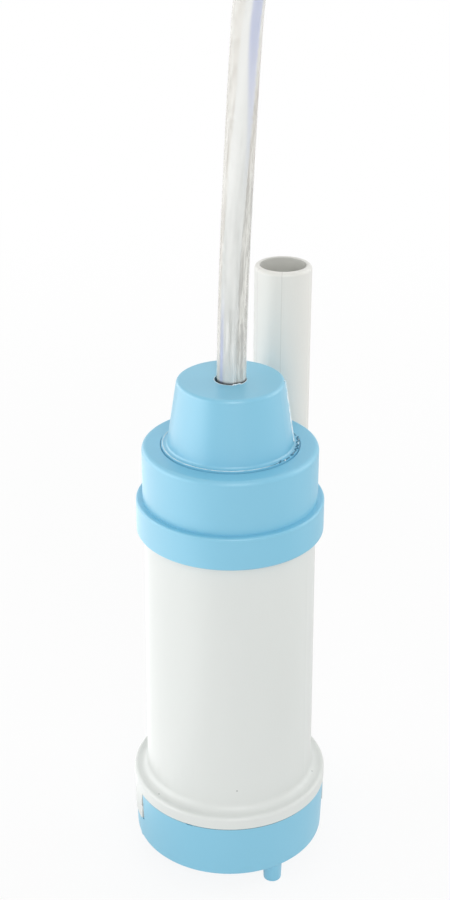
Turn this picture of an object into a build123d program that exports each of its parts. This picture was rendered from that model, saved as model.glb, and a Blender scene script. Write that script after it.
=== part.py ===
from build123d import *
import math
import os

# Submersible water pump for a caravan: a slim motor housing on a clip-on pump base, with a
# riser tube beside it and a two-core cable out of a cone-shaped boot.
# Millimetres and degrees. The origin is on the pump's axis, on the surface that the feet stand on.
# +Z points up the housing, and the riser tube stands on the +Y side. Bearings run from +X to +Y.

# Heights of what shows, from the floor up
foot_height = 4.3
base_height = 11.3
flange_height = 2.5
body_above_motor = 13.4
band_height = 6.4
shoulder_height = 10.5
cone_height = 12.7
riser_above_cone = 15.0

# The flange, which is the widest part, and the steps in radius from one part to the next
flange_radius = 19.06
flange_over_base = 0.11
base_draft = 0.35
flange_ledge = 2.66
body_draft = 0.45
band_over_body = 1.53
band_ledge = 1.22
shoulder_ledge = 3.59
cone_foot_flare = 1.07
cone_draft = 1.87

# Edges
base_edge_round = 0.4
base_seam_bevel = 0.18
flange_edge_round = 0.7
body_foot_round = 1.5
band_edge_round = 0.45
shoulder_edge_round = 0.9
cone_foot_round = 0.5
cone_edge_round = 0.7
small_round = 0.3

# Base cover with its feet, inlet grille and outlet channel
base_wall = 1.85
base_floor = 1.6
foot_top_radius = 1.88
foot_bottom_radius = 1.72
foot_inset = 2.3
foot_count = 3
first_foot_bearing = 88.0
grille_radius = 8.6
grille_hub_radius = 1.9
grille_bar = 1.5
grille_bar_count = 4
channel_radius = 4.6
lobe_radius = 6.3
nick_bearing = 272.0
nick_width = 1.3
nick_depth = 0.5
nick_height = 0.35

# Clip lugs of the housing and their notches in the base cover
lug_bearing = 216.0
lug_height = 6.4
lug_neck_height = 3.2
lug_half_width = 4.9
lug_neck_half_width = 4.35
lug_tip_half_width = 4.3
lug_thickness = 1.7
lug_gap = 0.15

# Housing inside
body_wall = 1.95
body_in_cap = 4.9
register_wall = 1.3
register_height = 1.5
register_gap = 0.15
motor_seat_height = 2.0
seal_boss_radius = 5.4
seal_boss_height = 2.0
boss_recess_gap = 0.1
web_width = 2.6

# Riser tube
riser_from_body = 5.8
riser_radius = 5.43
riser_foot_radius = 5.6
riser_bore_radius = 4.36
riser_spigot_length = 25.5
riser_socket_depth = 1.7
riser_collar_radius = 6.5
riser_collar_height = 4.5
riser_clearance = 0.3
riser_rim_round = 0.8
riser_lip_round = 0.2

# Top cap and cap seal
cap_gap = 0.05
cap_wall = 2.0
cap_top_thickness = 2.2
cap_step = 0.2
cap_hole_inset = 1.73
seat_groove_width = 0.2
seat_groove_depth = 0.35
cap_seal_section = 1.0
cap_seal_squeeze = 0.05
cap_seal_below_top = 1.8
cap_sleeve_wall = 1.4

# Cable boot
boot_collar_flange = 2.0
boot_collar_height = 2.0
boot_bore_gap = 0.19

# Motor
motor_gap = 0.15
motor_wall = 0.8
motor_length = 38.0
motor_boss_radius = 5.0
motor_boss_height = 1.7
magnet_thickness = 3.45
magnet_start = 4.0
magnet_end = 6.0
magnet_angle = 128.0
clip_thickness = 0.8
clip_angle = 44.0
bearing_radius = 3.0
bearing_length = 2.5
bearing_gap = 0.02
bell_thickness = 1.5
bell_hub_inset = 5.85
bell_hub_height = 2.0
bell_gap = 0.05
cushion_height = 2.5
cushion_width = 2.85
washer_radius = 2.4
washer_thickness = 0.4
washer_bore_gap = 0.05
screw_circle_radius = 8.0
screw_radius = 1.25
screw_head_radius = 2.2
screw_head_height = 1.5
screw_head_gap = 0.1
screw_in_motor = 1.6
screw_slot_width = 0.6
screw_slot_depth = 0.6

# Shaft and seal
shaft_radius = 1.15
shaft_past_bearing = 0.6
seal_radius = 4.0
seal_height = 2.6
seal_lip_gap = 0.03
web_hole_radius = 1.6
retainer_height = 0.6

# Armature and commutator
pole_count = 3
air_gap = 0.4
core_inside_magnet = 4.0
core_hub_share = 0.315
pole_neck_share = 0.326
pole_shoe_share = 0.174
pole_shoe_angle = 104.0
winding_share = 0.174
winding_overhang = 2.2
winding_gap = 0.1
commutator_hub_radius = 3.2
commutator_radius = 3.9
commutator_length = 5.6
commutator_flange = 0.6
segment_gap_angle = 8.0

# Brushes, terminals and what is wired to them
brush_width = 2.0
brush_length = 2.8
brush_height = 3.0
brush_gap = 0.05
brush_arm_thickness = 0.35
brush_arm_reach = 2.0
terminal_width = 2.8
terminal_thickness = 0.5
terminal_above_bell = 7.5
capacitor_radius = 2.8
capacitor_thickness = 1.8
capacitor_lead_radius = 0.3
capacitor_above_bell = 4.2
wire_radius = 0.85
wire_spacing = 2.2
wire_bend_share = 0.43

# Impeller
impeller_side_gap = 5.1
impeller_hub_radius = 3.0
impeller_disc_thickness = 1.0
impeller_blade_count = 6
impeller_blade_height = 4.0
impeller_blade_thickness = 1.0
impeller_blade_sweep = 42.0
impeller_to_seal = 0.5

# Cable
cable_radius = 2.7
cable_length = 1000.0
cable_run_share = 0.45
stripped_length = 28.0
cable_below_collar = 3.5
collar_wall = 1.5
collar_height = 3.0
core_radius_wire = 0.95
core_spacing = 2.1
core_tip_length = 7.0
core_tip_radius = 0.7
core_bend_radius = 5.0
tie_thickness = 0.8
tie_width = 4.0
tie_gap = 0.3

# Put-away coil: turns a little over a diameter apart, in two layers
coil_pitch = 6.0
coil_rise = 6.0
coil_start_radius = 32.5
coil_turns_in = 1.5
coil_climb_turns = 0.5
coil_quarters_per_turn = 4
coil_tie_turns = (0.34, 0.88)
coil_steps_per_turn = 48
coil_heading_step = 0.001

# Overruns that cuts share
overrun = 1.0

# Radii worked out from those above
base_top_radius = flange_radius - flange_over_base
base_bottom_radius = base_top_radius - base_draft
base_bore_radius = base_top_radius - base_wall
foot_circle_radius = base_bottom_radius - foot_inset
impeller_radius = base_bore_radius - impeller_side_gap
body_bottom_radius = flange_radius - flange_ledge
body_top_radius = body_bottom_radius - body_draft
body_bore_radius = body_top_radius - body_wall
band_radius = body_top_radius + band_over_body
shoulder_radius = band_radius - band_ledge
cone_seat_radius = shoulder_radius - shoulder_ledge
cone_bottom_radius = cone_seat_radius - cone_foot_flare
cone_top_radius = cone_bottom_radius - cone_draft
cap_hole_radius = cone_top_radius - cap_hole_inset
boot_collar_radius = cap_hole_radius + boot_collar_flange
riser_axis_y = body_bottom_radius + riser_from_body
motor_radius = body_bore_radius - motor_gap
bell_hub_radius = motor_radius - bell_hub_inset
magnet_inner_radius = motor_radius - motor_wall - magnet_thickness
core_radius = magnet_inner_radius - air_gap
core_hub_radius = core_radius * core_hub_share
pole_neck_width = core_radius * pole_neck_share
pole_shoe_thickness = core_radius * pole_shoe_share
winding_width = core_radius * winding_share
cable_diameter = 2 * cable_radius

# Heights worked out from those above
magnet_length = motor_length - magnet_start - magnet_end
core_length = magnet_length - 2 * core_inside_magnet
bare_body_height = motor_seat_height + motor_length + body_above_motor
seam_z = foot_height + base_height
flange_top_z = seam_z + flange_height
band_z = flange_top_z + bare_body_height
band_top_z = band_z + band_height
shoulder_z = band_top_z + shoulder_height
cone_top_z = shoulder_z + cone_height
riser_top_z = cone_top_z + riser_above_cone
body_top_z = band_z + body_in_cap
floor_top_z = foot_height + base_floor
motor_seat_z = flange_top_z + motor_seat_height
motor_top_z = motor_seat_z + motor_length
boss_z = seam_z - seal_boss_height
retainer_z = boss_z - retainer_height
cap_ledge_z = body_top_z + cap_step
cap_plate_z = shoulder_z - cap_top_thickness
boot_bottom_z = cap_plate_z - boot_collar_height
collar_z = boot_bottom_z - collar_height
riser_foot_z = flange_top_z - riser_socket_depth
cushion_top_z = motor_top_z + cushion_height
bell_top_z = motor_top_z + bell_hub_height
front_bearing_z = motor_seat_z - motor_boss_height
rear_bearing_z = bell_top_z - bearing_length
cable_start_z = collar_z - cable_below_collar
coil_low_z = cable_radius + tie_thickness

# Route of the cable's free stretch above the boot, chosen by hand: straight up with the lean that
# it has above the pump, over in an arch, down to the floor and along it to the coil
cable_route = [
    (0, 0, 108),
    (1.3, 0.7, 140),
    (3.2, 1.7, 178),
    (15.4, 15.6, 197.6),
    (32.8, 35.1, 197.6),
    (45.0, 49.0, 179.5),
    (45.7, 49.4, 131),
    (44.0, 48.3, 80),
    (42.3, 46.9, 48),
    (41.6, 46.0, 28.6),
    (50.8, 46.0, 12.6),
    (67.0, 46.0, 3.5),
    (84.8, 46.0, 3.5),
]

# Route of each stripped core from the sheath's end to the floor: along it as shares of the
# insulated length, sideways as shares of the cores' spacing, down as shares of the end's height
core_route_shares = [
    (0, 0.5, 0),
    (0.22, 0.5, 0),
    (0.48, 0.8, 0.38),
    (0.74, 1.4, 0.72),
    (1, 2.1, 0.79),
]

BOTTOM = (Align.CENTER, Align.CENTER, Align.MIN)


def rod(radius, low, high, x=0, y=0):
    """A round bar along Z between two heights."""
    return Pos(x, y, low) * Cylinder(radius, high - low, align=BOTTOM)


def sleeve(outer, inner, low, high, x=0, y=0):
    """A bar with a bore right through it."""
    return rod(outer, low, high, x, y) - rod(inner, low - overrun, high + overrun, x, y)


def bar(width, depth, low, high, x=0, y=0):
    """A square bar along Z, centred on x and y."""
    return Pos(x, y, low) * Box(width, depth, high - low, align=BOTTOM)


def turned(outline):
    """A solid of revolution about Z from (radius, height) points."""
    return revolve(make_face(Plane.XZ * Polyline(*outline, close=True)), Axis.Z)


def wedge(radius, bearing, angle, low, high):
    """A slice of a round bar, centred on a bearing."""
    start = (radius, 0)
    half = math.radians(angle / 2)
    end = (radius * math.cos(2 * half), radius * math.sin(2 * half))
    middle = (radius * math.cos(half), radius * math.sin(half))
    rim = ThreePointArc(start, middle, end)
    outline = Line((0, 0), start) + rim + Line(end, (0, 0))
    return Pos(0, 0, low) * Rot(0, 0, bearing - angle / 2) * extrude(make_face(outline), high - low)


def arc_block(outer, inner, bearing, angle, low, high):
    """A slice of a sleeve, centred on a bearing."""
    return wedge(outer, bearing, angle, low, high) - rod(inner, low - overrun, high + overrun)


def at_bearing(solid, bearing):
    """Turn a solid that was made on +X to a bearing."""
    return Rot(0, 0, bearing) * solid


def edges_at(solid, radius, height, within):
    """The round edges of a solid about its own axis with a given radius and height."""
    rings = solid.edges().filter_by(GeomType.CIRCLE)
    near = rings.filter_by(lambda e: abs(e.radius - radius) < within)
    return near.filter_by(lambda e: abs(e.center(CenterOf.BOUNDING_BOX).Z - height) < within)


def keyhole(main, lobe):
    """A round solid with a lobe that reaches out to the riser."""
    box = lobe.bounding_box()
    neck = bar(box.size.X, riser_axis_y, box.min.Z, box.max.Z, 0, riser_axis_y / 2)
    return main + lobe + neck


def lug_outline():
    """A lug's flat outline seen from outside: a neck, a barb on each side and a narrower tip."""
    right = [
        (lug_half_width, seam_z + overrun),
        (lug_half_width, seam_z),
        (lug_neck_half_width, seam_z - lug_neck_height),
        (lug_half_width, seam_z - lug_neck_height),
        (lug_tip_half_width, seam_z - lug_height),
    ]
    left = [(-x, z) for x, z in reversed(right)]
    return right + left


def lug_blank(bearing, outline, outer, inner):
    """A block of a lug's outline, cut to the ring that it lies in."""
    face = make_face(Plane.YZ * Polyline(*outline, close=True))
    block = extrude(face, flange_radius + overrun)
    ring = sleeve(outer, inner, seam_z - lug_height - overrun, seam_z + overrun)
    return at_bearing(block, bearing) & ring


def notch_outline():
    """A straight notch, wide enough to let a lug's barb out."""
    half = lug_half_width + lug_gap
    low = seam_z - lug_height - lug_gap
    return [(half, low), (half, seam_z + overrun), (-half, seam_z + overrun), (-half, low)]


def housing():
    """Tube, flange, bulkhead and clip lugs in one moulding."""
    foot_radius = flange_radius - flange_edge_round
    tube = turned([
        (0, seam_z),
        (foot_radius, seam_z),
        (foot_radius, flange_top_z),
        (body_bottom_radius, flange_top_z),
        (body_top_radius, body_top_z),
        (0, body_top_z),
    ])
    tube = fillet(edges_at(tube, body_bottom_radius, flange_top_z, small_round), body_foot_round)
    flange = rod(flange_radius, seam_z, flange_top_z)
    flange = keyhole(flange, rod(lobe_radius, seam_z, flange_top_z, 0, riser_axis_y))
    flange = fillet(flange.faces().sort_by(Axis.Z)[-1].edges(), flange_edge_round)
    collar = rod(riser_collar_radius, seam_z, flange_top_z + riser_collar_height, 0, riser_axis_y)
    collar = fillet(collar.faces().sort_by(Axis.Z)[-1].edges(), small_round)
    web = bar(web_width, riser_axis_y, flange_top_z, band_z - riser_clearance, 0, riser_axis_y / 2)
    solid = flange + tube + collar + web
    solid -= rod(body_bore_radius, motor_seat_z, body_top_z + overrun)
    solid += seal_boss()
    solid += register()
    solid -= riser_shape()
    solid -= rod(riser_bore_radius, seam_z - overrun, riser_foot_z + overrun, 0, riser_axis_y)
    recess_radius = motor_boss_radius + boss_recess_gap
    solid -= rod(recess_radius, front_bearing_z - boss_recess_gap, motor_seat_z + overrun)
    solid -= rod(web_hole_radius, boss_z - overrun, motor_seat_z + overrun)
    solid -= rod(seal_radius, boss_z - overrun, boss_z + seal_height)
    for x in (-screw_circle_radius, screw_circle_radius):
        solid -= rod(screw_radius, seam_z - overrun, motor_seat_z + overrun, x)
        solid -= rod(screw_head_radius + screw_head_gap, seam_z - overrun, seam_z + screw_head_height, x)
    groove_radius = body_seal_inner_radius()
    low, high = cap_seal_z()
    solid -= sleeve(body_bottom_radius, groove_radius, low, high)
    for bearing in (lug_bearing, lug_bearing + 180):
        solid += lug_blank(bearing, lug_outline(), base_top_radius, base_top_radius - lug_thickness)
    return solid


def seal_boss():
    """The boss that holds the shaft seal under the bulkhead."""
    return rod(seal_boss_radius, boss_z, motor_seat_z)


def register():
    """A short ring under the flange that centres the base cover."""
    outer = base_bore_radius - register_gap
    ring = sleeve(outer, outer - register_wall, seam_z - register_height, seam_z + overrun)
    channel_top = seam_z + 2 * overrun
    channel = bar(2 * channel_radius, riser_axis_y, boss_z - overrun, channel_top, 0, riser_axis_y / 2)
    return ring - channel


def riser_shape():
    """The outside of the riser: a drafted pipe with a true round spigot at its top."""
    pipe = turned([
        (0, riser_foot_z),
        (riser_foot_radius, riser_foot_z),
        (riser_radius, riser_top_z - riser_spigot_length),
        (riser_radius, riser_top_z),
        (0, riser_top_z),
    ])
    return Pos(0, riser_axis_y, 0) * pipe


def riser_tube():
    """The outlet pipe, glued in its socket in the flange."""
    solid = riser_shape()
    solid -= rod(riser_bore_radius, riser_foot_z - overrun, riser_top_z + overrun, 0, riser_axis_y)
    solid = fillet(solid.faces().sort_by(Axis.Z)[-1].edges().sort_by(SortBy.RADIUS)[-1], riser_rim_round)
    return fillet(solid.faces().sort_by(Axis.Z)[-1].edges().sort_by(SortBy.RADIUS)[0], riser_lip_round)


def inlet_grille():
    """The openings of the inlet: a round eye with bars and a hub left standing."""
    eye = rod(grille_radius, foot_height - overrun, floor_top_z + overrun)
    hub = rod(grille_hub_radius, foot_height - overrun, floor_top_z + overrun)
    eye -= hub
    for k in range(grille_bar_count // 2):
        long_bar = bar(2 * grille_radius + overrun, grille_bar, foot_height - overrun, floor_top_z + overrun)
        eye -= at_bearing(long_bar, k * 360 / grille_bar_count)
    return eye


def foot(bearing):
    """One tapered foot with a softened end."""
    draft = (foot_top_radius - foot_bottom_radius) / foot_height
    top = foot_height + base_floor / 2
    leg = turned([(0, 0), (foot_bottom_radius, 0), (foot_bottom_radius + draft * top, top), (0, top)])
    leg = fillet(edges_at(leg, foot_bottom_radius, 0, small_round), small_round)
    return at_bearing(Pos(foot_circle_radius, 0, 0) * leg, bearing)


def base_cover():
    """The clip-on pump base: cup, feet, inlet grille and outlet channel."""
    wall = [(base_bottom_radius, foot_height), (base_top_radius, seam_z)]
    cup = turned([(0, foot_height), *wall, (0, seam_z)])
    solid = keyhole(cup, rod(lobe_radius, foot_height, seam_z, 0, riser_axis_y))
    solid = fillet(solid.faces().sort_by(Axis.Z)[0].edges(), base_edge_round)
    solid = chamfer(solid.faces().sort_by(Axis.Z)[-1].edges(), base_seam_bevel)
    bore = [(base_bottom_radius - base_wall, floor_top_z), (base_bore_radius, seam_z)]
    chamber = turned([(0, floor_top_z), *bore, (base_bore_radius, seam_z + overrun), (0, seam_z + overrun)])
    solid -= keyhole(chamber, rod(channel_radius, floor_top_z, seam_z + overrun, 0, riser_axis_y))
    solid -= inlet_grille()
    for bearing in (lug_bearing, lug_bearing + 180):
        solid -= lug_blank(bearing, notch_outline(), flange_radius + overrun, base_bore_radius - overrun)
    nick = bar(2 * nick_depth, nick_width, seam_z - nick_height, seam_z + overrun, base_top_radius)
    solid -= at_bearing(nick, nick_bearing)
    for k in range(foot_count):
        solid += foot(first_foot_bearing + k * 360 / foot_count)
    return solid


def cap_seal_z():
    """The lowest and highest point of the cap seal's groove."""
    middle = body_top_z - cap_seal_below_top
    return middle - cap_seal_section / 2, middle + cap_seal_section / 2


def cap_seal_ring_radius():
    """The radius of the seal ring's middle line, inside the cap's skirt."""
    return body_top_radius + cap_gap - cap_seal_section / 2


def body_seal_inner_radius():
    """The floor of the groove that the seal ring lies in."""
    return cap_seal_ring_radius() - cap_seal_section / 2 - cap_seal_squeeze


def cap_seal():
    """The round rubber ring between housing and cap."""
    low, high = cap_seal_z()
    return Pos(0, 0, (low + high) / 2) * Torus(cap_seal_ring_radius(), cap_seal_section / 2)


def top_cap():
    """Band, shoulder and inner sleeve of the light blue cap."""
    cap = turned([
        (0, band_z),
        (band_radius, band_z),
        (band_radius, band_top_z),
        (shoulder_radius, band_top_z),
        (shoulder_radius, shoulder_z),
        (0, shoulder_z),
    ])
    cap = fillet(edges_at(cap, band_radius, band_top_z, small_round), band_edge_round)
    cap = fillet(edges_at(cap, band_radius, band_z, small_round), small_round)
    cap = fillet(edges_at(cap, shoulder_radius, shoulder_z, small_round), shoulder_edge_round)
    cap -= rod(body_top_radius + cap_gap, band_z - overrun, cap_ledge_z)
    cap -= rod(shoulder_radius - cap_wall, cap_ledge_z - overrun, cap_plate_z)
    sleeve_radius = body_bore_radius - bell_gap
    cap += sleeve(sleeve_radius, sleeve_radius - cap_sleeve_wall, cushion_top_z, cap_plate_z + overrun)
    cap -= rod(cap_hole_radius, cap_plate_z - overrun, shoulder_z + overrun)
    groove = sleeve(
        cone_seat_radius + seat_groove_width,
        cone_seat_radius,
        shoulder_z - seat_groove_depth,
        shoulder_z + overrun,
    )
    cap -= groove
    cap -= rod(riser_radius + riser_clearance, band_z - overrun, shoulder_z + overrun, 0, riser_axis_y)
    return cap


def cable_boot():
    """The soft cone, a grommet held in the cap's hole by a collar below."""
    cone = turned([
        (0, shoulder_z),
        (cone_seat_radius, shoulder_z),
        (cone_seat_radius, shoulder_z + small_round),
        (cone_bottom_radius, shoulder_z + small_round),
        (cone_top_radius, cone_top_z),
        (0, cone_top_z),
    ])
    foot_edge = edges_at(cone, cone_bottom_radius, shoulder_z + small_round, small_round)
    cone = fillet(foot_edge, cone_foot_round)
    cone = fillet(edges_at(cone, cone_top_radius, cone_top_z, small_round), cone_edge_round)
    cone += rod(cap_hole_radius, boot_bottom_z, shoulder_z + small_round)
    cone += rod(boot_collar_radius, boot_bottom_z, cap_plate_z)
    cone -= rod(cable_radius + boot_bore_gap, boot_bottom_z - overrun, cone_top_z + overrun)
    return cone


def motor_can():
    """The drawn steel can with its front boss."""
    can = rod(motor_radius, motor_seat_z, motor_top_z)
    can -= rod(motor_radius - motor_wall, motor_seat_z + motor_wall, motor_top_z + overrun)
    can += rod(motor_boss_radius, front_bearing_z, motor_seat_z + motor_wall)
    can -= rod(bearing_radius, front_bearing_z - overrun, motor_seat_z + motor_wall + overrun)
    for x in (-screw_circle_radius, screw_circle_radius):
        can -= rod(screw_radius, motor_seat_z - overrun, motor_seat_z + motor_wall + overrun, x)
    return can


def motor_screws():
    """The two pan-head screws that hold the motor on the bulkhead, from below."""
    screws = []
    for x in (-screw_circle_radius, screw_circle_radius):
        head = rod(screw_head_radius, seam_z, seam_z + screw_head_height, x)
        shank = rod(screw_radius, seam_z, motor_seat_z + screw_in_motor, x)
        slot = bar(2 * screw_head_radius, screw_slot_width, seam_z - overrun, seam_z + screw_slot_depth, x)
        screws.append(head + shank - slot)
    return screws


def field_magnets():
    """Two ferrite arcs inside the can."""
    low = motor_seat_z + magnet_start
    outer = motor_radius - motor_wall
    return [
        arc_block(outer, magnet_inner_radius, bearing, magnet_angle, low, low + magnet_length)
        for bearing in (90, 270)
    ]


def magnet_clip():
    """The spring strip that keeps the magnets apart on one side."""
    low = motor_seat_z + magnet_start
    outer = motor_radius - motor_wall
    return arc_block(outer, outer - clip_thickness, 0, clip_angle, low, low + magnet_length)


def front_bearing():
    """The bronze bush in the can's boss."""
    bore = shaft_radius + bearing_gap
    return sleeve(bearing_radius, bore, front_bearing_z, front_bearing_z + bearing_length)


def rear_bearing():
    """The bronze bush in the end bell."""
    return sleeve(bearing_radius, shaft_radius + bearing_gap, rear_bearing_z, bell_top_z)


def core_z():
    """The lowest and highest point of the iron core, at the middle of the magnets."""
    middle = motor_seat_z + magnet_start + magnet_length / 2
    return middle - core_length / 2, middle + core_length / 2


def commutator_z():
    """The lowest and highest point of the commutator, just under the end bell."""
    high = motor_top_z - bell_thickness - washer_thickness - washer_bore_gap
    return high - commutator_length, high


def thrust_washers():
    """The washers that stop the shaft's end play against both bearings."""
    bore = shaft_radius + washer_bore_gap
    front = front_bearing_z + bearing_length
    rear = commutator_z()[1]
    return [
        sleeve(washer_radius, bore, front, front + washer_thickness),
        sleeve(washer_radius, bore, rear + washer_bore_gap, rear + washer_bore_gap + washer_thickness),
    ]


def motor_end_bell():
    """The plastic cover of the can, with the rear bearing and the terminals in it."""
    radius = motor_radius - motor_wall - bell_gap
    low = motor_top_z - bell_thickness
    bell = rod(radius, low, motor_top_z)
    bell += rod(bell_hub_radius, motor_top_z, bell_top_z)
    bell -= rod(bearing_radius, rear_bearing_z, bell_top_z + overrun)
    bell -= rod(shaft_radius + boss_recess_gap, low - overrun, bell_top_z)
    for x in (-terminal_x(), terminal_x()):
        bell -= bar(terminal_thickness, terminal_width, low - overrun, bell_top_z, x)
    return bell


def terminal_x():
    """How far the terminals stand from the axis, just outside the bell's hub."""
    return bell_hub_radius + terminal_thickness


def motor_terminals():
    """Two flat tabs through the end bell."""
    low = motor_top_z - bell_thickness
    high = bell_top_z + terminal_above_bell
    return [bar(terminal_thickness, terminal_width, low, high, x) for x in (-terminal_x(), terminal_x())]


def brush_z():
    """The lowest and highest point of the carbon brushes, at the middle of the commutator."""
    low, high = commutator_z()
    middle = (low + high) / 2
    return middle - brush_height / 2, middle + brush_height / 2


def brushes():
    """Two carbon blocks on the commutator."""
    low, high = brush_z()
    x = commutator_radius + brush_gap + brush_length / 2
    return [bar(brush_length, brush_width, low, high, side * x) for side in (-1, 1)]


def brush_arms():
    """The leaf springs that carry the brushes down from the end bell."""
    low = brush_z()[0]
    high = motor_top_z - bell_thickness
    x = commutator_radius + brush_gap + brush_length + brush_arm_thickness / 2
    arms = []
    for side in (-1, 1):
        leaf = bar(brush_arm_thickness, brush_width, low, high, side * x)
        foot_x = side * (x + brush_arm_reach / 2)
        foot_length = brush_arm_reach + brush_arm_thickness
        leaf += bar(foot_length, brush_width, high - brush_arm_thickness, high, foot_x)
        arms.append(leaf)
    return arms


def suppression_capacitor():
    """A disc capacitor across the terminals, with a straight lead to each."""
    z = bell_top_z + capacitor_above_bell
    disc = Pos(0, 0, z) * Rot(90, 0, 0) * Cylinder(capacitor_radius, capacitor_thickness)
    reach = 2 * terminal_x() - terminal_thickness
    return disc + Pos(0, 0, z) * Rot(0, 90, 0) * Cylinder(capacitor_lead_radius, reach)


def lead_wires():
    """The two cores from the cable's end down to the terminals, inside the cap."""
    top = cable_start_z
    low = bell_top_z + capacitor_above_bell + wire_radius
    straight = wire_bend_share * (top - low)
    wires = []
    for side in (-1, 1):
        near = side * wire_spacing / 2
        far = side * (terminal_x() - terminal_thickness / 2 - wire_radius)
        slant = [(near, 0, top - straight), (far, 0, low + straight)]
        path = Polyline((near, 0, top), *slant, (far, 0, low))
        path = fillet(path.vertices().sort_by(Axis.Z)[1:3], cable_radius)
        wires.append(sweep(Plane(origin=(near, 0, top), z_dir=(0, 0, -1)) * Circle(wire_radius), path))
    return wires


def cushion_ring():
    """The rubber ring that the cap presses on the motor."""
    return sleeve(motor_radius, motor_radius - cushion_width, motor_top_z, cushion_top_z)


def shaft_seal():
    """The lip seal round the shaft, in the boss under the bulkhead."""
    return sleeve(seal_radius, shaft_radius + seal_lip_gap, boss_z, boss_z + seal_height)


def seal_retainer():
    """The disc that closes the seal's boss."""
    return sleeve(seal_boss_radius, web_hole_radius, retainer_z, boss_z)


def impeller_z():
    """The lowest point of the impeller's blades and the top of its disc."""
    top = retainer_z - impeller_to_seal
    return top - impeller_disc_thickness - impeller_blade_height, top


def motor_shaft():
    """The steel shaft from the impeller to the rear bearing."""
    low = impeller_z()[0]
    return rod(shaft_radius, low, bell_top_z + shaft_past_bearing)


def armature_core():
    """The iron stack: a hub with three poles, each with a shoe."""
    low, high = core_z()
    core = rod(core_hub_radius, low, high)
    for k in range(pole_count):
        bearing = k * 360 / pole_count
        neck = bar(core_radius - pole_shoe_thickness / 2, pole_neck_width, low, high, core_radius / 2)
        shoe = arc_block(core_radius, core_radius - pole_shoe_thickness, 0, pole_shoe_angle, low, high)
        core += at_bearing(neck, bearing)
        core += at_bearing(shoe, bearing)
    return core - rod(shaft_radius, low - overrun, high + overrun)


def armature_windings():
    """A copper coil round each pole's neck."""
    low, high = core_z()
    inner = pole_neck_width + 2 * winding_gap
    outer = inner + 2 * winding_width
    near = core_hub_radius + winding_gap
    far = math.sqrt((core_radius - pole_shoe_thickness - winding_gap) ** 2 - (outer / 2) ** 2)
    coils = []
    for k in range(pole_count):
        x = (near + far) / 2
        block = bar(far - near, outer, low - winding_overhang, high + winding_overhang, x)
        block -= bar(far - near + overrun, inner, low - winding_gap, high + winding_gap, x)
        coils.append(at_bearing(block, k * 360 / pole_count))
    return coils


def commutator_hub():
    """The moulded core of the commutator, with a flange below its segments."""
    low, high = commutator_z()
    hub = sleeve(commutator_hub_radius, shaft_radius, low, high)
    return hub + sleeve(commutator_radius, shaft_radius, low, low + commutator_flange)


def commutator_segments():
    """Three copper shells round the commutator's hub."""
    low, high = commutator_z()
    angle = 360 / pole_count - segment_gap_angle
    low += commutator_flange
    return [
        arc_block(commutator_radius, commutator_hub_radius, k * 360 / pole_count, angle, low, high)
        for k in range(pole_count)
    ]


def impeller():
    """A disc with curved blades that face the inlet."""
    low, high = impeller_z()
    disc_z = high - impeller_disc_thickness
    wheel = rod(impeller_radius, disc_z, high) + rod(impeller_hub_radius, low, high)
    start = (impeller_hub_radius - impeller_blade_thickness, 0)
    sweep_angle = math.radians(impeller_blade_sweep)
    end_radius = impeller_radius - small_round
    end = (end_radius * math.cos(sweep_angle), end_radius * math.sin(sweep_angle))
    line = TangentArc(start, end, tangent=(1, 0))
    blade = extrude(trace(line, impeller_blade_thickness), impeller_blade_height)
    for k in range(impeller_blade_count):
        wheel += Pos(0, 0, low) * Rot(0, 0, k * 360 / impeller_blade_count) * blade
    return wheel - rod(shaft_radius, low - overrun, high + overrun)


def cable_collar():
    """The crimped ring that keeps the cable from being pulled out of the boot."""
    return sleeve(cable_radius + collar_wall, cable_radius, collar_z, boot_bottom_z)


def corner_radii(route):
    """The largest tangent arcs that a route's runs allow."""
    radii = []
    points = [Vector(*p) for p in route]
    for before, corner, after in zip(points, points[1:], points[2:]):
        shorter = min((corner - before).length, (after - corner).length)
        half_turn = math.radians((corner - before).get_angle(after - corner) / 2)
        radii.append(cable_run_share * shorter / math.tan(half_turn))
    return radii


def cable_points():
    """The whole route, from the cable's start inside the cap."""
    return [(0, 0, cable_start_z), *cable_route]


def cable_path():
    """The middle line of the cable's free stretch."""
    return FilletPolyline(*cable_points(), radius=corner_radii(cable_points()))


def tube_along(path, radius):
    """A round tube swept along a path from its start."""
    return sweep(Plane(origin=path @ 0, z_dir=path % 0) * Circle(radius), path)


def cable():
    """The free stretch of the cable, from inside the cap to the coil."""
    return tube_along(cable_path(), cable_radius)


def coil_length():
    """What is left of the cable's length for the coil."""
    return cable_length - stripped_length - cable_path().length


def coil_turns():
    """How many turns the coil has: those in, the climb, and the rest going out again."""
    left = coil_length() - 2 * cable_diameter
    step = 1 / coil_steps_per_turn
    turns = 0
    while left > 0:
        left -= math.dist(coil_point(turns), coil_point(turns + step))
        turns += step
    return turns


def coil_bearing(turns):
    """The bearing of a place on the coil, which starts square to the cable and winds clockwise."""
    return math.pi / 2 + math.atan(coil_pitch / (2 * math.pi * coil_start_radius)) - 2 * math.pi * turns


def coil_middle():
    """The coil's middle, which puts its start one diameter past the end of the free stretch."""
    x_end, y_end, _ = cable_route[-1]
    bearing = coil_bearing(0)
    x_middle = x_end + cable_diameter - coil_start_radius * math.cos(bearing)
    return (x_middle, y_end - coil_start_radius * math.sin(bearing))


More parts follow.
